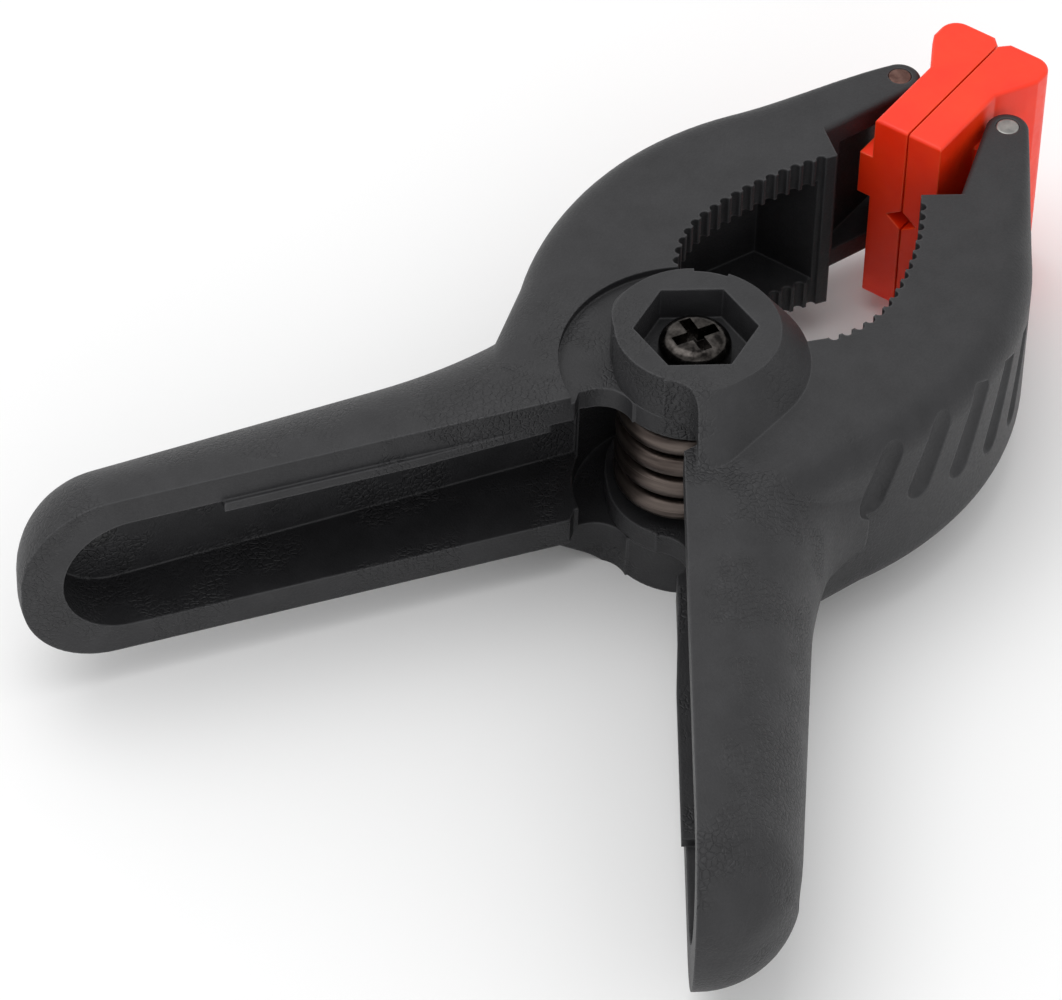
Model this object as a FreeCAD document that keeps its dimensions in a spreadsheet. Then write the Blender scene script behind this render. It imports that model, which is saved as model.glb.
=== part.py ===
"""Spring clamp: two crossed levers on a screw pivot, a torsion spring and swivelling jaw pads.

Frame: +X along the clamp towards the jaws, +Y across it towards the rear lever, +Z up the pivot.
The origin is on the pivot axis, in the plane of the lower boss face that the clamp lies on.
Both levers are the same moulding; the front one is turned half a turn about the clamp's length.
"""
import FreeCAD, Part
import math
import os
import Sketcher
from FreeCAD import Placement, Rotation, Vector

doc = FreeCAD.newDocument("spring_clamp")
sheet = doc.addObject("Spreadsheet::Sheet", "sizes")

DRIVING = [
    # levers: heights from the middle plane of the clamp
    ("boss_half", 19.0), ("lever_half", 13.3), ("cheek_outer_low", 12.25), ("cheek_inner_top", 12.15),
    ("spring_half", 8.95), ("hub_radius", 10.5), ("cheek_radius", 14.8), ("hub_clearance", 0.3),
    ("recess_radius", 17.5),
    # boss: round, and drawn out to a blunt nose along the handle
    ("boss_top_radius", 11.0), ("boss_top_reach", 11.8), ("boss_top_nose", 8.0),
    ("boss_foot_radius", 15.1), ("boss_foot_reach", 20.3), ("boss_foot_nose", 6.1),
    # plan of both cheeks: an off-centre round on the throat side, a hollow corner on the handle side
    ("cheek_side_radius", 13.2), ("cheek_side_offset", 3.4), ("cheek_side_turn", 10.0),
    ("corner_reach", 14.2), ("corner_round", 4.3), ("rim_step", 1.2),
    # arm outline, from the pivot axis
    ("throat_start_x", 13.3), ("throat_start_y", 11.5), ("throat_top_x", 23.0), ("throat_top_y", 14.3),
    ("throat_lead_bend", 16.0), ("throat_bend", 48.0),
    ("tooth_end_x", 43.9), ("tooth_end_y", 6.6), ("step_x", 47.1), ("step_y", 10.7),
    ("pin_x", 62.3), ("pin_y", 8.55), ("tip_radius", 2.9), ("tip_inner_turn", 251.1),
    ("tip_outer_turn", 62.0), ("shoulder_x", 44.0), ("shoulder_y", 24.2),
    ("crown_x", 20.0), ("crown_y", 31.4), ("arm_back_x", 0.0), ("arm_back_y", 27.4),
    ("shoulder_bend", 45.0), ("crown_bend", 50.0), ("arm_root_reach", 26.0), ("arm_root_rise", 9.0),
    ("tooth_pitch", 1.95), ("tooth_groove_radius", 0.72), ("throat_flange", 4.4), ("throat_pocket", 11.0),
    ("throat_web", 1.5), ("arm_edge_round", 4.3), ("tip_edge_round", 0.8),
    ("flute_radius", 2.6), ("flute_depth", 1.1), ("flute_pitch", 8.0), ("flute_start", 0.6),
    ("flute_lean", 22.0), ("flute_length", 12.0), ("flute_end", -3.4), ("flute_end_step", 1.8),
    # slot in the arm's tip, from the pin
    ("slot_behind", 12.6), ("slot_ahead", 4.0), ("slot_floor", 6.0), ("slot_roof", 3.1), ("slot_gap", 0.3),
    # handle, along its own direction from the pivot (reach) and across it (rise)
    ("handle_lean", 35.4), ("rim_rise", -1.7), ("handle_reach", 90.8), ("end_round", 13.0),
    ("end_lift", 0.4), ("grip_reach", 40.0), ("grip_rise", 14.25), ("back_slope", 3.67),
    ("waist_round", 70.0), ("waist_slope", 17.1), ("neck_round", 14.0), ("neck_slope", 55.0),
    ("root_back", 9.0), ("root_drop", 8.0), ("back_round", 12.2), ("rim_start", 16.9),
    ("rim_wall", 4.2), ("end_wall", 5.5), ("channel_start", 12.0), ("floor_rise_near", 10.2),
    ("floor_rise_far", 7.2), ("hang_hole_reach", 78.6), ("hang_hole_radius", 3.2),
    ("lip_start", 38.0), ("lip_end", 64.0), ("lip_run_in", 18.0), ("lip_depth", 3.0),
    ("lip_proud", 0.6), ("lip_thick", 1.3),
    # pivot hardware
    ("hex_flats", 14.0), ("hex_turn", -8.0), ("hex_depth", 5.0), ("sleeve_radius", 4.0),
    ("running_gap", 0.05), ("screw_radius", 2.5), ("screw_gap", 0.1), ("head_radius", 4.75),
    ("head_height", 3.7), ("head_crown", 1.9), ("cross_reach", 3.1), ("cross_half", 0.8),
    ("cross_depth", 2.2), ("cross_turn", 62.0), ("nut_flats", 8.0), ("nut_turn", 12.0),
    ("nut_height", 4.0), ("washer_radius", 5.0), ("washer_thick", 1.0),
    # spring
    ("wire_radius", 1.6), ("coil_radius", 8.2), ("coil_pitch", 3.85), ("coil_gap", 0.1), ("leg_length", 56.0),
    ("leg_tilt", 3.0),
    # jaw pads and their pins; starts and ends along the pad are measured from the pin
    ("pin_radius", 1.6), ("pin_soft", 0.25), ("pad_half", 15.5), ("pad_gap", 0.15), ("pad_thick", 5.0),
    ("pad_near_x", 50.8), ("pad_far_x", 74.6), ("pad_soft", 0.5), ("back_end", 2.1), ("nose_start", 7.9),
    ("nose_crease", 6.4), ("nose_crease_drop", 0.7), ("nose_thick", 8.3), ("nose_round", 2.6),
    ("lug_half", 9.5), ("lug_radius", 2.7), ("lug_lean", 0.8), ("tab_end", 7.6),
    ("tab_low", 1.7), ("tab_height", 7.0), ("tab_proud", 2.0), ("vee_depth", 2.2), ("vee_half", 1.7),
    ("far_chamfer", 1.1),
]
PAST = 1.0      # how far a cutting piece runs beyond the face it cuts, or a joined piece is buried
FLUTES = 5
COIL_TURNS = 4


class Size:
    """A number together with the spreadsheet expression that gives it."""

    def __init__(self, value, text):
        self.value = value
        self.text = text

    def join(self, other, sign, value):
        return Size(value, "(%s %s %s)" % (self.text, sign, as_size(other).text))

    def __add__(self, other):
        return self.join(other, "+", self.value + as_size(other).value)

    def __sub__(self, other):
        return self.join(other, "-", self.value - as_size(other).value)

    def __mul__(self, other):
        return self.join(other, "*", self.value * as_size(other).value)

    def __truediv__(self, other):
        return self.join(other, "/", self.value / as_size(other).value)

    def __neg__(self):
        return Size(-self.value, "(0 - %s)" % self.text)


def as_size(item):
    return item if isinstance(item, Size) else Size(float(item), "%.6f" % item)


def sine(angle):
    return Size(math.sin(math.radians(angle.value)), "sin(%s * 1 deg)" % angle.text)


def cosine(angle):
    return Size(math.cos(math.radians(angle.value)), "cos(%s * 1 deg)" % angle.text)


def root(size):
    return Size(math.sqrt(size.value), "sqrt(%s)" % size.text)


def fill_sheet():
    found = {}
    for row, (alias, number) in enumerate(DRIVING, start=1):
        sheet.set("A%d" % row, alias)
        sheet.set("B%d" % row, "%s" % number)
        sheet.setAlias("B%d" % row, alias)
    doc.recompute()
    for alias, number in DRIVING:
        found[alias] = Size(float(sheet.get(alias)), "sizes." + alias)
    return found


d = fill_sheet()


def bind(item, name, size):
    item.setExpression(name, as_size(size).text)


def bind_place(item, x=0.0, y=0.0, z=0.0):
    for axis, size in (("x", x), ("y", y), ("z", z)):
        bind(item, "Placement.Base." + axis, size)


def on_handle(reach, rise):
    """Turns a place along and across the rear handle into X and Y."""
    lean = d["handle_lean"]
    reach = as_size(reach)
    rise = as_size(rise)
    x = sine(lean) * rise - cosine(lean) * reach
    y = sine(lean) * reach + cosine(lean) * rise
    return x, y


def arc_between(start, end, radius):
    """The short arc from start to end; a positive radius bulges to the right of the way."""
    chord = end - start
    side = Vector(chord.y, -chord.x, 0).normalize()
    middle = (start + end) * 0.5
    bend = abs(radius)
    drop = math.sqrt(bend * bend - chord.Length ** 2 / 4)
    sign = 1 if radius > 0 else -1
    return Part.Arc(start, middle + side * (sign * (bend - drop)), end)


def draw_outline(sketch, corners):
    """Closes a profile through corners (x, y, radius of the arc that leaves it, or None)."""
    points = [Vector(as_size(x).value, as_size(y).value, 0) for x, y, bend in corners]
    count = len(points)
    for index, (x, y, bend) in enumerate(corners):
        start = points[index]
        end = points[(index + 1) % count]
        if bend is None:
            sketch.addGeometry(Part.LineSegment(start, end))
        else:
            sketch.addGeometry(arc_between(start, end, as_size(bend).value))
    ends = []
    for index in range(count):
        start = points[index]
        start_is_first = (sketch.getPoint(index, 1) - start).Length < 1e-6
        ends.append((1, 2) if start_is_first else (2, 1))
    for index in range(count):
        following = (index + 1) % count
        sketch.addConstraint(Sketcher.Constraint("Coincident", index, ends[index][1],
                                                 following, ends[following][0]))
    for index, (x, y, bend) in enumerate(corners):
        point = ends[index][0]
        for kind, size in (("DistanceX", x), ("DistanceY", y)):
            number = sketch.addConstraint(
                Sketcher.Constraint(kind, -1, 1, index, point, as_size(size).value))
            bind(sketch, "Constraints[%d]" % number, size)
        if bend is not None:
            number = sketch.addConstraint(Sketcher.Constraint("Radius", index, abs(as_size(bend).value)))
            size = as_size(bend)
            bind(sketch, "Constraints[%d]" % number, size if size.value > 0 else -size)


def plan_block(name, corners, low, high):
    """A block that stands on a plan outline, from one height to another."""
    sketch = doc.addObject("Sketcher::SketchObject", name + "_outline")
    draw_outline(sketch, corners)
    block = doc.addObject("Part::Extrusion", name)
    block.Base = sketch
    block.DirMode = "Custom"
    block.Dir = Vector(0, 0, 1)
    block.Solid = True
    bind(block, "LengthFwd", as_size(high) - low)
    bind(block, "Placement.Base.z", low)
    return block


def cylinder(name, radius, low, high, x=0.0, y=0.0):
    item = doc.addObject("Part::Cylinder", name)
    bind(item, "Radius", radius)
    bind(item, "Height", as_size(high) - low)
    bind_place(item, x, y, low)
    return item


def fuse(name, shapes):
    item = doc.addObject("Part::MultiFuse", name)
    item.Shapes = shapes
    item.Refine = True
    return item


def cut(name, base, tool):
    item = doc.addObject("Part::Cut", name)
    item.Base = base
    item.Tool = tool
    item.Refine = True
    return item


def common(name, shapes):
    item = doc.addObject("Part::MultiCommon", name)
    item.Shapes = shapes
    return item


def rounded(name, base, radii):
    """Rounds each edge of base for which radii gives the radius at its two ends."""
    doc.recompute()
    picked = []
    for number, edge in enumerate(base.Shape.Edges, start=1):
        middle = edge.valueAt((edge.FirstParameter + edge.LastParameter) / 2)
        pair = radii(middle, edge)
        if pair is not None:
            picked.append((number, pair[0], pair[1]))
    item = doc.addObject("Part::Fillet", name)
    item.Base = base
    item.Edges = picked
    return item


def flat_edge(edge):
    return abs(edge.BoundBox.ZLength) < 1e-6


# ---------------------------------------------------------------- levers

def handle_corners():
    """Plan outline of the handle: rim, bullnose end, back, and the neck that runs into the arm."""
    reach = d["handle_reach"]
    rim = d["rim_rise"]
    end = d["end_round"]
    end_rise = rim + d["end_lift"]
    back = d["back_slope"]
    back_x = reach - end + end * sine(back)
    back_y = end_rise + end * cosine(back)
    waist = d["waist_round"]
    waist_x = d["grip_reach"] - waist * (sine(d["waist_slope"]) - sine(back))
    waist_y = d["grip_rise"] + waist * (cosine(back) - cosine(d["waist_slope"]))
    neck = d["neck_round"]
    neck_x = waist_x - neck * (sine(d["neck_slope"]) - sine(d["waist_slope"]))
    neck_y = waist_y + neck * (cosine(d["waist_slope"]) - cosine(d["neck_slope"]))
    places = [
        (neck_x, neck_y, -neck), (waist_x, waist_y, -waist),
        (d["grip_reach"], d["grip_rise"], None), (back_x, back_y, end), (reach, end_rise, None),
        (reach, rim, None), (d["rim_start"], rim, None),
        (neck_x - d["root_back"], neck_y - d["root_drop"], None),
    ]
    return [on_handle(run, rise) + (bend,) for run, rise, bend in places]


def arm_corners():
    """Plan outline of the arm: toothed throat, step, tip, shoulder and the back above the neck."""
    tip = d["tip_radius"]
    inner_x = d["pin_x"] + tip * cosine(d["tip_inner_turn"])
    inner_y = d["pin_y"] + tip * sine(d["tip_inner_turn"])
    outer_x = d["pin_x"] + tip * cosine(d["tip_outer_turn"])
    outer_y = d["pin_y"] + tip * sine(d["tip_outer_turn"])
    rim_x, rim_y = on_handle(d["rim_start"], d["rim_rise"])
    step_x, step_y = on_handle(d["rim_start"] - d["rim_step"], 0.0)
    back_x, back_y = on_handle(d["arm_root_reach"], d["arm_root_rise"])
    return [
        (d["throat_start_x"], d["throat_start_y"], -d["throat_lead_bend"]),
        (d["throat_top_x"], d["throat_top_y"], -d["throat_bend"]),
        (d["tooth_end_x"], d["tooth_end_y"], None), (d["step_x"], d["step_y"], None),
        (inner_x, inner_y, tip), (d["pin_x"] + tip, d["pin_y"], tip),
        (outer_x, outer_y, None), (d["shoulder_x"], d["shoulder_y"], d["shoulder_bend"]),
        (d["crown_x"], d["crown_y"], d["crown_bend"]), (d["arm_back_x"], d["arm_back_y"], None),
        (back_x, back_y, None), (rim_x, rim_y, None), (step_x, step_y, None), (0.0, 0.0, None),
    ]


def corner(name):
    return Vector(d[name + "_x"].value, d[name + "_y"].value, 0)


def along_arcs(arcs, first, pitch):
    """Evenly spaced places along a chain of arcs, each with the centre that its arc turns about."""
    found = []
    left = first
    for start, end, radius in arcs:
        edge = arc_between(start, end, radius).toShape()
        forward = (edge.valueAt(edge.FirstParameter) - start).Length < 0.01
        while left < edge.Length:
            run = left if forward else edge.Length - left
            found.append((edge.valueAt(edge.getParameterByLength(run)), edge.Curve.Center))
            left += pitch
        left -= edge.Length
    return found


def throat_points():
    """Places along the throat, one for each groove between teeth; the last tooth stays whole."""
    start = corner("throat_start")
    top = corner("throat_top")
    first_share = 0.6
    arcs = [(start, top, -d["throat_lead_bend"].value), (top, corner("tooth_end"), -d["throat_bend"].value)]
    pitch = d["tooth_pitch"].value
    return [place for place, centre in along_arcs(arcs, pitch * first_share, pitch)][:-1]


def flute_points():
    """Places along the arm's back, one for each finger flute, with the outward direction there."""
    crown = corner("crown")
    arcs = [(corner("arm_back"), crown, -d["crown_bend"].value),
            (crown, corner("shoulder"), -d["shoulder_bend"].value)]
    places = along_arcs(arcs, d["flute_start"].value, d["flute_pitch"].value)[:FLUTES]
    return [(place, (place - centre).normalize()) for place, centre in places]


def handle_radii(middle, edge):
    """The back and the end of the handle are rounded; its rim and its buried end are not."""
    lean = math.radians(d["handle_lean"].value)
    reach = middle.y * math.sin(lean) - middle.x * math.cos(lean)
    rise = middle.x * math.sin(lean) + middle.y * math.cos(lean)
    on_rim = rise < d["rim_rise"].value + 0.1
    buried = reach < d["channel_start"].value + PAST
    if on_rim or buried or not flat_edge(edge):
        return None
    return d["back_round"].value, d["back_round"].value


def arm_radii(middle, edge):
    """The arm's back is rounded, and the rounding fades out towards the tip."""
    buried = middle.x < d["arm_back_x"].value + PAST
    inside = middle.y < d["throat_top_y"].value
    if buried or inside or not flat_edge(edge):
        return None
    wide = d["arm_edge_round"].value
    if middle.x < d["shoulder_x"].value:
        return wide, wide
    narrow = d["tip_edge_round"].value
    first = edge.valueAt(edge.FirstParameter)
    last = edge.valueAt(edge.LastParameter)
    return (narrow, wide) if first.x > last.x else (wide, narrow)


def across_handle():
    """The direction from the rim to the back of the rear handle."""
    lean = math.radians(d["handle_lean"].value)
    return Vector(math.sin(lean), math.cos(lean), 0)


def across_cylinder(name, radius, reach, low, high):
    """A cylinder that runs through the handle from the rim side to the back, at mid height."""
    item = doc.addObject("Part::Cylinder", name)
    bind(item, "Radius", radius)
    bind(item, "Height", as_size(high) - low)
    item.Placement = Placement(Vector(0, 0, 0), Rotation(Vector(0, 0, 1), across_handle()))
    x, y = on_handle(reach, low)
    bind(item, "Placement.Base.x", x)
    bind(item, "Placement.Base.y", y)
    return item


def cheek_plan(name, low, high):
    """Where the cheeks may be: clear of the corner that opens between the two handles."""
    far = d["boss_foot_reach"] * 2.0
    drop = far * 0.2
    corners = [on_handle(far, 0.0) + (None,), (0.0, 0.0, None), (far, -drop, None), (far, far, None),
               (-far, far, None)]
    side = plan_block(name + "_side", corners, low, high)
    offset = d["cheek_side_offset"]
    turn = d["cheek_side_turn"]
    round_end = cylinder(name + "_round", d["cheek_side_radius"], low, high, offset * cosine(turn),
                         offset * sine(turn))
    cap = plan_block(name + "_cap", [(0.0, 0.0, None), on_handle(-far, 0.0) + (None,), (far, far, None),
                                     (far, -far, None), (0.0, -far, None),
                                     on_handle(0.0, -far) + (None,)], low, high)
    throat_side = common(name + "_throat_side", [round_end, cap])
    corner_round = d["corner_round"]
    reach = d["corner_reach"]
    hub = d["hub_radius"]
    inside = hub - corner_round
    web = plan_block(name + "_web", [
        on_handle(inside, PAST) + (None,), on_handle(reach, PAST) + (None,),
        on_handle(reach, 0.0) + (-corner_round,),
        on_handle(reach - corner_round, -corner_round) + (None,),
        on_handle(inside, -corner_round) + (None,)], low, high)
    return fuse(name, [side, throat_side, web])


def boss_outline(name, radius, reach, nose, level):
    """A circle drawn out to a rounded nose along the handle, at one height."""
    sketch = doc.addObject("Sketcher::SketchObject", name)
    middle = reach - nose
    lead = (radius - nose) / middle
    spread = root(as_size(1.0) - lead * lead)
    nose_run = middle + nose * lead
    corners = [(radius * lead, radius * spread, None), (nose_run, nose * spread, nose),
               (nose_run, -(nose * spread), None), (radius * lead, -(radius * spread), radius),
               (-radius, 0.0, radius)]
    draw_outline(sketch, [on_handle(run, rise) + (bend,) for run, rise, bend in corners])
    bind(sketch, "Placement.Base.z", level)
    return sketch


def lever_blank(tag):
    half = d["lever_half"]
    handle = rounded(tag + "handle", plan_block(tag + "handle_block", handle_corners(), -half, half),
                     handle_radii)
    arm = rounded(tag + "arm", plan_block(tag + "arm_block", arm_corners(), -half, half), arm_radii)
    hub = cylinder(tag + "hub", d["hub_radius"], -half, half)
    return fuse(tag + "blank", [handle, arm, hub])


def handle_hollows(tag):
    """The open channel under the handle and the hanging hole through its back."""
    wide = d["lever_half"] - d["rim_wall"]
    far = d["handle_reach"] - d["end_wall"] - wide
    below = d["rim_rise"] - PAST
    near = d["channel_start"]
    channel = plan_block(tag + "channel", [
        on_handle(near, below) + (None,), on_handle(near, d["floor_rise_near"]) + (None,),
        on_handle(far, d["floor_rise_far"]) + (None,), on_handle(far, below) + (None,)], -wide, wide)
    channel_end = across_cylinder(tag + "channel_end", wide, far, below, d["floor_rise_far"])
    hang_hole = across_cylinder(tag + "hang_hole", d["hang_hole_radius"], d["hang_hole_reach"],
                                d["floor_rise_far"] - PAST, d["grip_rise"] + PAST)
    return [channel, channel_end, hang_hole]


def throat_hollows(tag):
    """The recess between the toothed flanges, and the grooves between their teeth."""
    half = d["lever_half"]
    wide = half - d["throat_flange"]
    deep = d["throat_pocket"]
    end_x = d["tooth_end_x"] - d["throat_web"]
    recess = plan_block(tag + "throat", [
        (d["throat_start_x"] - PAST, 0.0, None), (end_x, 0.0, None), (end_x, d["tooth_end_y"] + deep, None),
        (d["throat_top_x"], d["throat_top_y"] + deep, None),
        (d["throat_start_x"] + PAST * 2.0, d["throat_start_y"] + deep, None)], -wide, wide)
    radius = d["tooth_groove_radius"]
    return [recess] + [
        cylinder(tag + "tooth_groove_%d" % number, radius, -half, half, place.x, place.y)
        for number, place in enumerate(throat_points(), start=1)]


def flute_hollows(tag):
    """Finger flutes in the arm's back: each leans, fades out near the outer face and ends in a round."""
    radius = d["flute_radius"]
    lean = math.radians(d["flute_lean"].value)
    hollows = []
    for number, (place, outward) in enumerate(flute_points()):
        centre = place + outward * (radius.value - d["flute_depth"].value)
        onward = outward.cross(Vector(0, 0, -1))
        axis = Vector(0, 0, -math.cos(lean)) - onward * math.sin(lean)
        end_rise = d["flute_end"] + d["flute_end_step"] * number
        end = doc.addObject("Part::Sphere", tag + "flute_end_%d" % number)
        bind(end, "Radius", radius)
        groove = doc.addObject("Part::Cylinder", tag + "flute_%d" % number)
        bind(groove, "Radius", radius)
        bind(groove, "Height", d["flute_length"])
        groove.Placement = Placement(Vector(0, 0, 0), Rotation(Vector(0, 0, 1), axis))
        for piece in (end, groove):
            bind_place(piece, centre.x, centre.y, end_rise)
            hollows.append(piece)
    return hollows


def tip_hollows(tag):
    """The slot in the arm's tip that takes the pad's lug, and the hole for its pin."""
    half = d["lever_half"]
    slot_half = d["lug_half"] + d["slot_gap"]
    near = d["pin_x"] - d["slot_behind"]
    far = d["pin_x"] + d["slot_ahead"]
    low = d["pin_y"] - d["slot_floor"]
    roof = d["pin_y"] + d["slot_roof"]
    slot = plan_block(tag + "slot", [
        (near, low, None), (far, low, None), (far, roof, None), (near, roof, None)], -slot_half, slot_half)
    hole = cylinder(tag + "pin_hole", d["pin_radius"], -half - PAST, half + PAST, d["pin_x"], d["pin_y"])
    return [slot, hole]


def build_lever(name, placement):
    """One moulded lever. Its outer cheek, with the boss, is below; its inner cheek is above."""
    half = d["lever_half"]
    boss_low = -d["boss_half"]
    cheek_low = -d["cheek_outer_low"]
    inner_top = d["cheek_inner_top"]
    spring_top = d["spring_half"]
    tag = name + "_"
    clear = cylinder(tag + "clear", d["cheek_radius"] + d["hub_clearance"], cheek_low, spring_top)
    recess = cylinder(tag + "recess", d["recess_radius"], inner_top, half + PAST)
    hollows = fuse(tag + "hollows", [clear, recess] + handle_hollows(tag) + throat_hollows(tag)
                   + flute_hollows(tag) + tip_hollows(tag))
    shell = cut(tag + "shell", lever_blank(tag), hollows)

    inner_cheek = common(tag + "inner_cheek", [
        cylinder(tag + "cheek_disc", d["cheek_radius"], spring_top, inner_top),
        cheek_plan(tag + "inner_plan", spring_top, inner_top)])
    cheek_hub = cylinder(tag + "cheek_hub", d["hub_radius"], spring_top, inner_top)
    flank = doc.addObject("Part::Loft", tag + "boss_flank")
    top = boss_outline(tag + "boss_top", d["boss_top_radius"], d["boss_top_reach"],
                       d["boss_top_nose"], boss_low)
    foot = boss_outline(tag + "boss_foot", d["boss_foot_radius"], d["boss_foot_reach"],
                        d["boss_foot_nose"], -half)
    flank.Sections = [top, foot]
    flank.Solid = True
    flank.Ruled = True
    plate = cylinder(tag + "plate", d["boss_foot_radius"], -half, cheek_low)
    boss = common(tag + "boss", [fuse(tag + "boss_round", [flank, plate]),
                                 cheek_plan(tag + "boss_plan", boss_low, cheek_low)])
    boss_hub = cylinder(tag + "boss_hub", d["hub_radius"], boss_low, cheek_low)
    whole = fuse(tag + "whole", [shell, inner_cheek, cheek_hub, boss, boss_hub, build_lip(tag)])

    hexagon = doc.addObject("Part::Prism", tag + "hexagon")
    hexagon.Polygon = 6
    bind(hexagon, "Circumradius", d["hex_flats"] / root(as_size(3.0)))
    bind(hexagon, "Height", d["hex_depth"])
    hexagon.Placement = Placement(Vector(0, 0, 0), Rotation(Vector(0, 0, 1), d["hex_turn"].value))
    bind(hexagon, "Placement.Base.z", boss_low)
    bore = cylinder(tag + "bore", d["sleeve_radius"] + d["running_gap"], boss_low, half)
    lever = cut(name, whole, fuse(tag + "pivot_holes", [hexagon, bore]))
    lever.Placement = placement
    bind(lever, "Placement.Base.z", d["boss_half"])
    return lever


def build_lip(tag):
    """A thin ledge inside one wall of the channel that stands a little proud of the rim."""
    wall = d["lever_half"] - d["rim_wall"]
    bite = 0.1
    rim = d["rim_rise"]
    proud = rim - d["lip_proud"]
    run_in = d["lip_start"] - d["lip_run_in"]
    deep = d["lip_depth"]
    return plan_block(tag + "lip", [
        on_handle(run_in, rim + bite) + (None,), on_handle(d["lip_start"], proud) + (None,),
        on_handle(d["lip_end"], proud) + (None,), on_handle(d["lip_end"], deep) + (None,),
        on_handle(run_in, deep) + (None,)], wall - d["lip_thick"], wall + bite)


# ---------------------------------------------------------------- bodies turned or pressed from a profile

def new_body(name):
    body = doc.addObject("PartDesign::Body", name)
    body.Label = name
    bind(body, "Placement.Base.z", d["boss_half"])
    return body


def profile(body, name, level, across="XY_Plane"):
    """A sketch on one of the body's own planes, raised to the given level."""
    plane = [item for item in body.Origin.OriginFeatures if item.Role == across][0]
    sketch = body.newObject("Sketcher::SketchObject", name)
    sketch.AttachmentSupport = (plane, [""])
    sketch.MapMode = "FlatFace"
    bind(sketch, "AttachmentOffset.Base.z", level)
    return sketch


def draw_circle(sketch, radius, x=0.0, y=0.0):
    centre = Vector(as_size(x).value, as_size(y).value, 0)
    index = sketch.addGeometry(Part.Circle(centre, Vector(0, 0, 1), as_size(radius).value))
    number = sketch.addConstraint(Sketcher.Constraint("Radius", index, as_size(radius).value))
    bind(sketch, "Constraints[%d]" % number, radius)
    for kind, size in (("DistanceX", x), ("DistanceY", y)):
        number = sketch.addConstraint(Sketcher.Constraint(kind, -1, 1, index, 3, as_size(size).value))
        bind(sketch, "Constraints[%d]" % number, size)


def grow(body, name, sketch, length):
    """Pads a profile upwards."""
    feature = body.newObject("PartDesign::Pad", name)
    feature.Profile = sketch
    bind(feature, "Length", length)
    body.Tip = feature
    return feature


def sink(body, name, sketch, length):
    """Pockets a profile downwards, and checks that it really takes material away."""
    doc.recompute()
    before = body.Shape.Volume
    feature = body.newObject("PartDesign::Pocket", name)
    feature.Profile = sketch
    bind(feature, "Length", length)
    body.Tip = feature
    doc.recompute()
    if body.Shape.Volume > before - 1e-3:
        raise RuntimeError(name + " takes nothing away")
    return feature


def soften(body, name, base, radius, wanted):
    """Rounds the edges of the body whose middle point passes the test wanted."""
    doc.recompute()
    names = []
    for number, edge in enumerate(base.Shape.Edges, start=1):
        middle = edge.valueAt((edge.FirstParameter + edge.LastParameter) / 2)
        if wanted(middle, edge):
            names.append("Edge%d" % number)
    feature = body.newObject("PartDesign::Fillet", name)
    feature.Base = (base, names)
    bind(feature, "Radius", radius)
    body.Tip = feature
    return feature


def build_ring(name, outer, inner, low, high):
    body = new_body(name)
    sketch = profile(body, name + "_outline", low)
    draw_circle(sketch, outer)
    draw_circle(sketch, inner)
    grow(body, name + "_ring", sketch, as_size(high) - low)
    return body


def build_pin(name, side):
    """A plain steel pin, flush with both faces of the arm, with softened ends."""
    body = new_body(name)
    half = d["lever_half"]
    sketch = profile(body, name + "_outline", -half)
    draw_circle(sketch, d["pin_radius"], d["pin_x"], d["pin_y"] * side)
    rod = grow(body, name + "_rod", sketch, half * 2.0)
    soften(body, name + "_ends", rod, d["pin_soft"], lambda middle, edge: flat_edge(edge))
    return body


def hexagon_corners(flats, turn):
    radius = flats / root(as_size(3.0))
    turns = [turn + 60.0 * step for step in range(6)]
    return [(radius * cosine(angle), radius * sine(angle), None) for angle in turns]


def build_nut(top):
    body = new_body("pivot_nut")
    sketch = profile(body, "pivot_nut_outline", top - d["nut_height"])
    draw_outline(sketch, hexagon_corners(d["nut_flats"], d["nut_turn"]))
    draw_circle(sketch, d["screw_radius"] + d["screw_gap"])
    grow(body, "pivot_nut_block", sketch, d["nut_height"])
    return body


def cross_corners(reach, half):
    """A plus sign: the outline of the screw's cross recess."""
    corners = []
    for step in range(4):
        turn = d["cross_turn"] + 90.0 * step
        for run, side in ((reach, -half), (reach, half), (half, half)):
            corners.append((run * cosine(turn) - side * sine(turn),
                            run * sine(turn) + side * cosine(turn), None))
    return corners


def build_screw(low, seat):
    """A pan-head screw with a cross recess, head upwards."""
    body = new_body("pivot_screw")
    shank_sketch = profile(body, "pivot_screw_shank_outline", low)
    draw_circle(shank_sketch, d["screw_radius"])
    grow(body, "pivot_screw_shank", shank_sketch, seat - low)
    head_sketch = profile(body, "pivot_screw_head_outline", seat)
    draw_circle(head_sketch, d["head_radius"])
    head = grow(body, "pivot_screw_head", head_sketch, d["head_height"])
    top = seat + d["head_height"]
    soften(body, "pivot_screw_crown", head, d["head_crown"],
           lambda middle, edge: flat_edge(edge) and abs(middle.z - top.value) < 0.01)
    recess_sketch = profile(body, "pivot_screw_recess_outline", top)
    draw_outline(recess_sketch, cross_corners(d["cross_reach"], d["cross_half"]))
    sink(body, "pivot_screw_recess", recess_sketch, d["cross_depth"])
    return body


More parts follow.
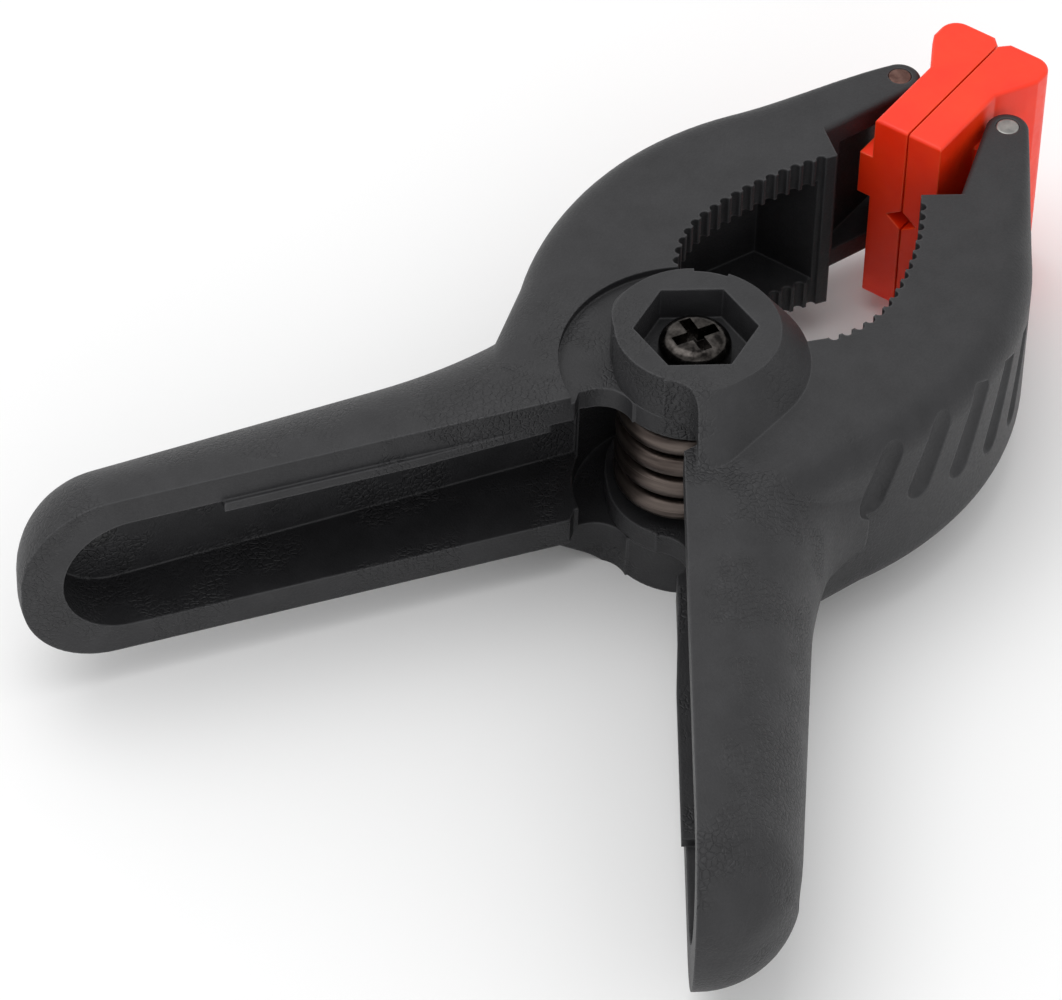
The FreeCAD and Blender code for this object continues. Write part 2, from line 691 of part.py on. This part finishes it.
def build_pad(name, side):
    """A jaw pad: a thick plate with a flared nose, a lug round its pin, and a stop tab."""
    body = new_body(name)
    half = d["pad_half"]
    gap = d["pad_gap"]
    back = gap + d["pad_thick"]
    buried = back - PAST
    nose = d["nose_thick"]
    far = d["pad_far_x"]
    pin_x = d["pin_x"]
    pin_y = d["pin_y"]

    def outline(part, corners, low):
        sketch = profile(body, name + part, low)
        draw_outline(sketch, [(x, as_size(y) * side, turn) for x, y, turn in corners])
        return sketch

    plate_sketch = outline("_plate_outline", [
        (d["pad_near_x"], gap, None), (far - d["far_chamfer"], gap, None),
        (far, gap + d["far_chamfer"], None), (far, nose - d["nose_round"], d["nose_round"] * side),
        (far - d["nose_round"], nose, None), (pin_x + d["nose_start"], nose, None),
        (pin_x + d["nose_crease"], nose - d["nose_crease_drop"], None), (pin_x + d["back_end"], back, None),
        (d["pad_near_x"], back, None)], -half)
    plate = grow(body, name + "_plate", plate_sketch, half * 2.0)
    soften(body, name + "_edges", plate, d["pad_soft"],
           lambda middle, edge: flat_edge(edge) and abs(middle.y) > gap.value + 0.3)
    lug = d["lug_radius"]
    lug_sketch = outline("_lug_outline", [
        (pin_x - lug, buried, None), (pin_x + lug - d["lug_lean"], buried, None),
        (pin_x + lug, pin_y, lug * side), (pin_x, pin_y + lug, lug * side), (pin_x - lug, pin_y, None)],
        -d["lug_half"])
    grow(body, name + "_lug", lug_sketch, d["lug_half"] * 2.0)
    tab_start = d["pad_near_x"]
    tab_end = pin_x - d["tab_end"]
    tab_back = back + d["tab_proud"]
    tab_sketch = outline("_tab_outline", [
        (tab_start, buried, None), (tab_end, buried, None), (tab_end, tab_back, None),
        (tab_start, tab_back, None)], d["tab_low"] if side > 0 else -d["tab_low"] - d["tab_height"])
    grow(body, name + "_tab", tab_sketch, d["tab_height"])
    bore_sketch = profile(body, name + "_bore_outline", half)
    draw_circle(bore_sketch, d["pin_radius"] + d["running_gap"], pin_x, pin_y * side)
    sink(body, name + "_bore", bore_sketch, half * 2.0)
    vee_sketch = profile(body, name + "_vee_outline", far + PAST, "YZ_Plane")
    draw_outline(vee_sketch, [(0.0, -d["vee_half"], None), ((gap + d["vee_depth"]) * side, 0.0, None),
                              (0.0, d["vee_half"], None)])
    sink(body, name + "_vee", vee_sketch, far - d["pad_near_x"] + PAST * 2.0)
    return body


def coil_rise(turn, half_turns):
    """Height of the wire at a number of turns from the middle; the pitch closes up near the ends."""
    pitch = d["coil_pitch"].value
    ease_from = 1.5
    end_rise = d["spring_half"].value - d["wire_radius"].value - d["coil_gap"].value
    span = half_turns - ease_from
    closing = 2 * (pitch - (end_rise - pitch * ease_from) / span) / span
    late = max(0.0, abs(turn) - ease_from)
    return math.copysign(pitch * abs(turn) - closing * late * late / 2, turn)


def build_spring():
    """A helical coil with one straight leg lying in each handle's channel, swept along one curve."""
    radius = d["coil_radius"].value
    lead_in = 90.0 - d["handle_lean"].value + d["leg_tilt"].value
    half_turns = COIL_TURNS / 2 + lead_in / 360.0
    steps = 160
    coil = []
    for step in range(steps + 1):
        turn = half_turns * (2.0 * step / steps - 1)
        angle = 2 * math.pi * turn
        coil.append(Vector(radius * math.cos(angle), radius * math.sin(angle), coil_rise(turn, half_turns)))
    ways = [Vector(coil[0].y, -coil[0].x, 0).normalize(), Vector(-coil[-1].y, coil[-1].x, 0).normalize()]
    runs = [d["leg_length"].value * share for share in (0.02, 0.06, 0.15, 0.4, 0.7, 1.0)]
    front = [coil[0] + ways[0] * run for run in reversed(runs)]
    rear = [coil[-1] + ways[1] * run for run in runs]
    line = Part.BSplineCurve()
    line.interpolate(front + coil + rear)
    path = Part.Wire(line.toShape())
    ring = Part.Circle(front[0], -ways[0], d["wire_radius"].value)
    sweep = Part.BRepOffsetAPI.MakePipeShell(path)
    sweep.setBiNormalMode(Vector(0, 0, 1))
    sweep.add(Part.Wire(ring.toShape()))
    sweep.build()
    sweep.makeSolid()
    item = doc.addObject("Part::Feature", "torsion_spring")
    item.Shape = sweep.shape()
    item.Placement = Placement(Vector(0, 0, d["boss_half"].value), Rotation())
    return item


def build_clamp():
    seat = d["boss_half"] - d["hex_depth"]
    half_turn = Rotation(Vector(1, 0, 0), 180)
    nodes = {
        "rear_lever": build_lever("rear_lever", Placement(Vector(0, 0, 0), Rotation())),
        "front_lever": build_lever("front_lever", Placement(Vector(0, 0, 0), half_turn)),
        "pivot_sleeve": build_ring("pivot_sleeve", d["sleeve_radius"], d["screw_radius"] + d["screw_gap"],
                                   -seat, seat),
        "nut_washer": build_ring("nut_washer", d["washer_radius"], d["screw_radius"] + d["screw_gap"],
                                 -seat - d["washer_thick"], -seat),
        "pivot_nut": build_nut(-seat - d["washer_thick"]),
        "pivot_screw": build_screw(-seat - d["washer_thick"] - d["nut_height"], seat),
        "rear_jaw_pin": build_pin("rear_jaw_pin", 1),
        "front_jaw_pin": build_pin("front_jaw_pin", -1),
        "rear_jaw_pad": build_pad("rear_jaw_pad", 1),
        "front_jaw_pad": build_pad("front_jaw_pad", -1),
        "torsion_spring": build_spring(),
    }
    doc.recompute()
    for item in doc.Objects:
        if "Invalid" in item.State or "Error" in item.State:
            raise RuntimeError("%s failed: %s" % (item.Name, item.State))
    os.makedirs("parts", exist_ok=True)
    for name, item in nodes.items():
        item.Label = name
        shape = item.Shape
        if shape.isNull() or not shape.isValid() or len(shape.Solids) != 1:
            raise RuntimeError("%s is not one valid solid: %s" % (name, shape.ShapeType))
        shape.exportStep("parts/%s.step" % name)
        print("%-16s %9.1f mm3  %s" % (name, shape.Volume, shape.BoundBox))


build_clamp()
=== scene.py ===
"""Looks of a hand spring clamp: black moulded levers, orange jaw pads, a torsion spring and a pivot screw.

Everything is in metres in the clamp's own frame: +X runs along it towards the jaws, +Y across it
towards the rear lever and +Z up its pivot, with z = 0 where the lower boss rests on the floor.
"""

import math

import bpy
from mathutils import Matrix, Vector


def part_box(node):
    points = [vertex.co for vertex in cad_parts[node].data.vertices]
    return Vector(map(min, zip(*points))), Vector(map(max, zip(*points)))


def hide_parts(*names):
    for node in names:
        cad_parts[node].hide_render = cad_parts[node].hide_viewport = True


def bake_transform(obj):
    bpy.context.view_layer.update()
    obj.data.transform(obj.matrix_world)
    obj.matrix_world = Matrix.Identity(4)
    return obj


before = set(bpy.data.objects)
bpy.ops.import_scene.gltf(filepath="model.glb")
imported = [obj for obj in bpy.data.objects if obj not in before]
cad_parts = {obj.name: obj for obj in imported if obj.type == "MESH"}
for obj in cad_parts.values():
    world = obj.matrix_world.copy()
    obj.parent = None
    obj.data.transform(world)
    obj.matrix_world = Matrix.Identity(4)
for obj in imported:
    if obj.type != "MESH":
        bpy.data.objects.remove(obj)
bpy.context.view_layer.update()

MM = 0.001
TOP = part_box("front_lever")[1].z
MIDDLE = TOP / 2
LEAN = math.radians(35.4)       # how far each handle leans out from the clamp's length


# ---------------------------------------------------------------- small helpers

def linear(code):
    """An sRGB hex colour as the linear red, green, blue and alpha that a shader takes."""
    parts = [int(code[at:at + 2], 16) / 255 for at in (0, 2, 4)]
    return [part / 12.92 if part <= 0.04045 else ((part + 0.055) / 1.055) ** 2.4 for part in parts] + [1.0]


def add(tree, kind, settings=None, **joins):
    """Adds one node. settings are its own options; a join is a socket's value, or an output to link to it."""
    made = tree.nodes.new(kind)
    for name, value in (settings or {}).items():
        setattr(made, name, value)
    for name, value in joins.items():
        key = int(name[1:]) if name[1:].isdigit() else name.replace("_", " ")
        socket = made.inputs[key]
        if isinstance(value, bpy.types.NodeSocket):
            tree.links.new(value, socket)
        else:
            socket.default_value = value
    return made


def ramp(tree, fac, stops):
    """A straight colour ramp over fac; stops are (place, colour), where a plain number is a grey."""
    made = add(tree, "ShaderNodeValToRGB", Fac=fac)
    points = made.color_ramp.elements
    while len(points) < len(stops):
        points.new(0.5)
    for point, (place, colour) in zip(points, stops):
        point.position = place
        point.color = colour if isinstance(colour, list) else [colour] * 3 + [1.0]
    return made.outputs["Color"]


def surface(name, **constants):
    """A new material with its Principled shader; constants are the shader's own values."""
    made = bpy.data.materials.new(name)
    made.use_nodes = True
    shader = made.node_tree.nodes["Principled BSDF"]
    for socket, value in constants.items():
        shader.inputs[socket.replace("_", " ")].default_value = value
    return made, made.node_tree, shader


def grain(tree, size, detail=3.0, rough=0.55):
    """Noise whose lumps are about size across, in metres, on the piece's own coordinates."""
    place = add(tree, "ShaderNodeTexCoord").outputs["Object"]
    return add(tree, "ShaderNodeTexNoise", Vector=place, Scale=1 / size, Detail=detail,
               Roughness=rough).outputs["Fac"]


def worn_and_highlit_edges(tree, width):
    """(normal with its edges softened, how much of an edge each point is) for a radius of width; the edge
    share paints paler edges, partly wear and partly painted highlight.
    """
    soft = add(tree, "ShaderNodeBevel", {"samples": 6}, Radius=width).outputs["Normal"]
    true = add(tree, "ShaderNodeNewGeometry").outputs["True Normal"]
    same = add(tree, "ShaderNodeVectorMath", {"operation": "DOT_PRODUCT"}, _0=soft, _1=true).outputs["Value"]
    return soft, ramp(tree, same, [(0.80, 1.0), (0.97, 0.0)])


# ---------------------------------------------------------------- materials

def moulded_nylon():
    """Glass-filled nylon from a spark-eroded mould: charcoal, dull and finely pebbled.

    Where thick walls cooled slowly the skin wrinkled into leathery patches, and edges are paler, partly from
    wear and partly a painted highlight.
    """
    made, tree, shader = surface("moulded_black_nylon", IOR=1.53, Specular_IOR_Level=0.4)
    pebble = grain(tree, 0.35 * MM)
    place = add(tree, "ShaderNodeTexCoord").outputs["Object"]
    warp = add(tree, "ShaderNodeTexNoise", Vector=place, Scale=1 / (1.6 * MM), Detail=2.0).outputs["Color"]
    bent = add(tree, "ShaderNodeVectorMath", {"operation": "MULTIPLY_ADD"},
               _0=warp, _1=(0.8 * MM,) * 3, _2=place).outputs["Vector"]
    cells = add(tree, "ShaderNodeTexVoronoi", {"feature": "DISTANCE_TO_EDGE"}, Vector=bent,
                Scale=1 / (0.8 * MM)).outputs["Distance"]
    creases = ramp(tree, cells, [(0.0, 0.0), (0.16, 1.0)])
    patches = ramp(tree, grain(tree, 11 * MM, 2.0), [(0.46, 0.0), (0.56, 1.0)])
    along = add(tree, "ShaderNodeSeparateXYZ", Vector=place).outputs["X"]
    handles = add(tree, "ShaderNodeMapRange", Value=along, _1=6 * MM, _2=-8 * MM).outputs["Result"]
    leathery = add(tree, "ShaderNodeMath", {"operation": "MULTIPLY"}, _0=patches, _1=handles).outputs["Value"]
    soft, edges = worn_and_highlit_edges(tree, 0.5 * MM)
    tone = ramp(tree, grain(tree, 5 * MM, 4.0, 0.6), [(0.3, linear("1F1F21")), (0.7, linear("29292B"))])
    # paler edges in the base colour: partly wear, partly painted highlight where the edges would catch the
    # light
    rubbed_and_highlit = add(tree, "ShaderNodeMix", {"data_type": "RGBA"}, _0=edges, _6=tone,
                 _7=linear("464648")).outputs[2]
    tree.links.new(rubbed_and_highlit, shader.inputs["Base Color"])
    tree.links.new(ramp(tree, pebble, [(0.3, 0.46), (0.7, 0.60)]), shader.inputs["Roughness"])
    fine = add(tree, "ShaderNodeBump", Height=pebble, Distance=0.08 * MM, Strength=0.8, Normal=soft)
    leather = add(tree, "ShaderNodeBump", Height=creases, Distance=0.09 * MM, Strength=leathery,
                  Normal=fine.outputs["Normal"])
    tree.links.new(leather.outputs["Normal"], shader.inputs["Normal"])
    return made


def moulded_pad():
    """Tough orange-red polypropylene from a polished mould: bright, waxy and half glossy."""
    made, tree, shader = surface("moulded_orange_polypropylene", IOR=1.49, Subsurface_Weight=0.12,
                                 Subsurface_Scale=0.8 * MM)
    shader.inputs["Subsurface Radius"].default_value = (1.0, 0.25, 0.1)
    tone = ramp(tree, grain(tree, 7 * MM, 2.0), [(0.3, linear("F62C04")), (0.7, linear("FF3808"))])
    soft, edges = worn_and_highlit_edges(tree, 0.35 * MM)
    # paler edges in the base colour: partly wear, partly painted highlight where the edges would catch the
    # light
    pale = add(tree, "ShaderNodeMix", {"data_type": "RGBA"}, _0=edges, _6=tone,
               _7=linear("FF5C2A")).outputs[2]
    tree.links.new(pale, shader.inputs["Base Color"])
    scuffs = grain(tree, 1.2 * MM, 4.0)
    tree.links.new(ramp(tree, scuffs, [(0.35, 0.36), (0.7, 0.48)]), shader.inputs["Roughness"])
    skin = add(tree, "ShaderNodeBump", Height=scuffs, Distance=0.03 * MM, Strength=0.5, Normal=soft)
    tree.links.new(skin.outputs["Normal"], shader.inputs["Normal"])
    return made


def tempered_wire():
    """Oil-tempered spring wire: a thin brown oxide over steel, drawn, so it shines along its length."""
    made, tree, shader = surface("oil_tempered_spring_wire", Metallic=1.0)
    run = add(tree, "ShaderNodeAttribute", {"attribute_name": "wire_run"}).outputs["Vector"]
    drawn = add(tree, "ShaderNodeMapping", Vector=run, Scale=(1 / (9 * MM), 9.0, 1.0)).outputs["Vector"]
    streaks = add(tree, "ShaderNodeTexNoise", Vector=drawn, Scale=1.0, Detail=4.0).outputs["Fac"]
    tree.links.new(ramp(tree, streaks, [(0.3, linear("423A37")), (0.7, linear("766C66"))]),
                   shader.inputs["Base Color"])
    tree.links.new(ramp(tree, streaks, [(0.3, 0.30), (0.7, 0.42)]), shader.inputs["Roughness"])
    marks = add(tree, "ShaderNodeBump", Height=streaks, Distance=0.02 * MM, Strength=0.5)
    tree.links.new(marks.outputs["Normal"], shader.inputs["Normal"])
    return made


def metal(name, dark, light, smooth, rough, lump):
    """A bare or plated metal whose tone and polish drift between two values over lumps of one size."""
    made, tree, shader = surface(name, Metallic=1.0)
    drift = grain(tree, lump, 4.0, 0.6)
    soft = worn_and_highlit_edges(tree, 0.2 * MM)[0]
    tone = ramp(tree, drift, [(0.35, linear(dark)), (0.68, linear(light))])
    tree.links.new(tone, shader.inputs["Base Color"])
    tree.links.new(ramp(tree, drift, [(0.35, smooth), (0.68, rough)]), shader.inputs["Roughness"])
    fine = add(tree, "ShaderNodeBump", Height=drift, Distance=0.02 * MM, Strength=0.4, Normal=soft)
    tree.links.new(fine.outputs["Normal"], shader.inputs["Normal"])
    return made


def pale_floor():
    """A sheet of matt white board."""
    made, tree, shader = surface("matt_white_board", Roughness=0.9)
    tree.links.new(ramp(tree, grain(tree, 0.15, 1.0), [(0.3, linear("F6F6F6")), (0.7, linear("FAFAFA"))]),
                   shader.inputs["Base Color"])
    return made


NYLON = moulded_nylon()
PAD = moulded_pad()
WIRE = tempered_wire()
# black-oxide screw: near-black skin, polished enough for sharp highlights
SCREW = metal("black_oxide_screw_steel", "1C1A19", "5A5653", 0.12, 0.30, 1.6 * MM)
# ground pin stock: plain grey with a soft shine
PIN = metal("ground_pin_steel", "8A8A88", "A8A8A4", 0.30, 0.45, 1.0 * MM)
# the same stock with a film of brown rust
RUSTED_PIN = metal("rust_filmed_pin_steel", "5A403A", "7E625A", 0.45, 0.60, 1.0 * MM)
# zinc-plated hardware: pale and slightly clouded
ZINC = metal("zinc_plated_steel", "9C9EA0", "C4C6C8", 0.25, 0.40, 2.5 * MM)

FINISHES = {
    "front_lever": NYLON, "rear_lever": NYLON, "front_jaw_pad": PAD, "rear_jaw_pad": PAD,
    "front_jaw_pin": PIN, "rear_jaw_pin": RUSTED_PIN, "pivot_screw": SCREW, "pivot_nut": ZINC,
    "nut_washer": ZINC, "pivot_sleeve": ZINC, "torsion_spring": WIRE,
}
for node, finish in FINISHES.items():
    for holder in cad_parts[node].material_slots:
        holder.material = finish


# ---------------------------------------------------------------- torsion spring

WIRE_RADIUS = 1.6 * MM
COIL_RADIUS = 8.2 * MM
COIL_PITCH = 3.85 * MM          # free pitch of the middle turns; the end turns close up
EASE_FROM = 1.5                 # turns from the middle where the pitch begins to close
COIL_TURNS = 4                  # whole turns, before the part turn that leads into each leg
COIL_ROOM = 8.95 * MM           # half the height between the cheeks that hold the coil
COIL_GAP = 0.1 * MM             # left between the coil and each cheek
LEG_TILT = math.radians(3.0)    # how far each leg leans in from its handle
LEG_LENGTH = 56 * MM
HALF_TURNS = COIL_TURNS / 2 + (math.pi / 2 - LEAN + LEG_TILT) / (2 * math.pi)
END_RISE = COIL_ROOM - WIRE_RADIUS - COIL_GAP


def coil_rise(turn):
    """Height of the wire over the middle plane at a number of turns from the middle of the coil."""
    away = abs(turn)
    open_rise = COIL_PITCH * min(away, EASE_FROM)
    late = max(0.0, away - EASE_FROM)
    span = HALF_TURNS - EASE_FROM
    closing = 2 * (COIL_PITCH - (END_RISE - COIL_PITCH * EASE_FROM) / span) / span
    return math.copysign(open_rise + COIL_PITCH * late - closing * late * late / 2, turn)


def spring_path():
    """Centre line of the wire: front leg, coil, rear leg."""
    steps = 260
    points = []
    for step in range(steps + 1):
        turn = HALF_TURNS * (2 * step / steps - 1)
        angle = 2 * math.pi * turn
        points.append(Vector((COIL_RADIUS * math.cos(angle), COIL_RADIUS * math.sin(angle),
                              MIDDLE + coil_rise(turn))))
    first, last = points[0], points[-1]
    front = Vector((first.y, -first.x, 0)).normalized()
    rear = Vector((-last.y, last.x, 0)).normalized()
    knots = 12
    legs = [LEG_LENGTH * (number + 1) / knots for number in range(knots)]
    return [first + front * run for run in reversed(legs)] + points + [last + rear * run for run in legs]


def round_wire_tree():
    """Geometry Nodes that sweep a round wire with flat ends along a line and record its run."""
    tree = bpy.data.node_groups.new("round_wire", "GeometryNodeTree")
    for name, kind in (("Line", "NodeSocketGeometry"), ("Wire radius", "NodeSocketFloat"),
                       ("Sides", "NodeSocketInt"), ("Finish", "NodeSocketMaterial")):
        tree.interface.new_socket(name, in_out="INPUT", socket_type=kind)
    tree.interface.new_socket("Wire", in_out="OUTPUT", socket_type="NodeSocketGeometry")
    given = add(tree, "NodeGroupInput").outputs
    line = add(tree, "GeometryNodeMeshToCurve", Mesh=given["Line"]).outputs["Curve"]
    run = add(tree, "GeometryNodeSplineParameter").outputs["Length"]
    kept = add(tree, "GeometryNodeCaptureAttribute", {"domain": "POINT"}, Geometry=line)
    kept.capture_items.new("FLOAT", "Run")
    tree.links.new(run, kept.inputs["Run"])
    ring = add(tree, "GeometryNodeCurvePrimitiveCircle", {"mode": "RADIUS"}, Resolution=given["Sides"],
               Radius=given["Wire radius"]).outputs["Curve"]
    turn = add(tree, "GeometryNodeSplineParameter").outputs["Factor"]
    ring_kept = add(tree, "GeometryNodeCaptureAttribute", {"domain": "POINT"}, Geometry=ring)
    ring_kept.capture_items.new("FLOAT", "Turn")
    tree.links.new(turn, ring_kept.inputs["Turn"])
    swept = add(tree, "GeometryNodeCurveToMesh", Curve=kept.outputs["Geometry"],
                Profile_Curve=ring_kept.outputs["Geometry"], Fill_Caps=True).outputs["Mesh"]
    pair = add(tree, "ShaderNodeCombineXYZ", X=kept.outputs["Run"],
               Y=ring_kept.outputs["Turn"]).outputs["Vector"]
    marked = add(tree, "GeometryNodeStoreNamedAttribute", {"data_type": "FLOAT_VECTOR", "domain": "POINT"},
                 Geometry=swept, Name="wire_run", Value=pair).outputs["Geometry"]
    smooth = add(tree, "GeometryNodeSetShadeSmooth", Geometry=marked).outputs["Geometry"]
    whole = add(tree, "GeometryNodeRealizeInstances", Geometry=smooth).outputs["Geometry"]
    dressed = add(tree, "GeometryNodeSetMaterial", Geometry=whole,
                  Material=given["Finish"]).outputs["Geometry"]
    add(tree, "NodeGroupOutput", Wire=dressed)
    return tree


def grown(name, tree, points, edges, **sizes):
    """Runs a Geometry Nodes tree on a line mesh and returns the result as a plain mesh object."""
    seed_mesh = bpy.data.meshes.new(name + "_line")
    seed_mesh.from_pydata(points, edges, [])
    seed = bpy.data.objects.new(name + "_line", seed_mesh)
    bpy.context.scene.collection.objects.link(seed)
    modifier = seed.modifiers.new("grow", "NODES")
    modifier.node_group = tree
    sockets = {item.name: item.identifier for item in tree.interface.items_tree if item.in_out == "INPUT"}
    for socket, value in sizes.items():
        modifier[sockets[socket.replace("_", " ")]] = value
    seen = seed.evaluated_get(bpy.context.evaluated_depsgraph_get())
    mesh = bpy.data.meshes.new_from_object(seen)
    mesh.name = name
    made = bpy.data.objects.new(name, mesh)
    bpy.context.scene.collection.objects.link(made)
    bpy.data.objects.remove(seed)
    return made


path = spring_path()
spring = grown("coiled_spring_wire", round_wire_tree(), path,
               [(number, number + 1) for number in range(len(path) - 1)],
               Wire_radius=WIRE_RADIUS, Sides=24, Finish=WIRE)
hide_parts("torsion_spring")
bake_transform(spring)


# ---------------------------------------------------------------- floor, light and camera

def lamp(name, place, aim, size, power):
    """A square soft white light at a place, turned towards a point."""
    data = bpy.data.lights.new(name, "AREA")
    data.size = size
    data.energy = power
    made = bpy.data.objects.new(name, data)
    bpy.context.scene.collection.objects.link(made)
    made.location = place
    made.rotation_mode = "QUATERNION"
    made.rotation_quaternion = (Vector(aim) - Vector(place)).to_track_quat("-Z", "Y")


def studio():
    """A wide white board under a soft white room, with one broad lamp overhead and a weak one in front."""
    half = 4.0
    corners = [(-half, -half, 0), (half, -half, 0), (half, half, 0), (-half, half, 0)]
    mesh = bpy.data.meshes.new("floor")
    mesh.from_pydata(corners, [], [(0, 1, 2, 3)])
    mesh.materials.append(pale_floor())
    floor = bpy.data.objects.new("floor", mesh)
    bpy.context.scene.collection.objects.link(floor)
    world = bpy.data.worlds.new("soft_white_room")
    world.use_nodes = True
    sky = world.node_tree.nodes["Background"]
    sky.inputs["Color"].default_value = linear("FFFFFF")
    sky.inputs["Strength"].default_value = 0.82
    bpy.context.scene.world = world
    bpy.context.scene.view_settings.view_transform = "Standard"
    lamp("overhead_softbox", (-0.10, 0.25, 0.90), (0, 0, 0), 0.8, 3.0)
    lamp("front_fill", (-0.70, -0.75, 0.55), (0, 0, 0.02), 0.6, 1.2)


def camera():
    """A long lens from over the front handle, with the clamp seen from 45 degrees above."""
    aim = Vector((-22.32 * MM, 9.59 * MM, MIDDLE))
    distance = 838.9 * MM
    azimuth = math.radians(-56.41)
    elevation = math.radians(44.85)
    roll = math.radians(1.95)
    back = Vector((math.sin(azimuth) * math.cos(elevation), -math.cos(azimuth) * math.cos(elevation),
                   math.sin(elevation)))
    data = bpy.data.cameras.new("camera")
    data.lens = 221.4
    data.sensor_width = 36.0
    data.clip_end = 20.0
    made = bpy.data.objects.new("camera", data)
    bpy.context.scene.collection.objects.link(made)
    turn = (-back).to_track_quat("-Z", "Y").to_matrix().to_4x4() @ Matrix.Rotation(roll, 4, "Z")
    made.matrix_world = Matrix.Translation(aim + back * distance) @ turn
    bpy.context.scene.camera = made


studio()
camera()
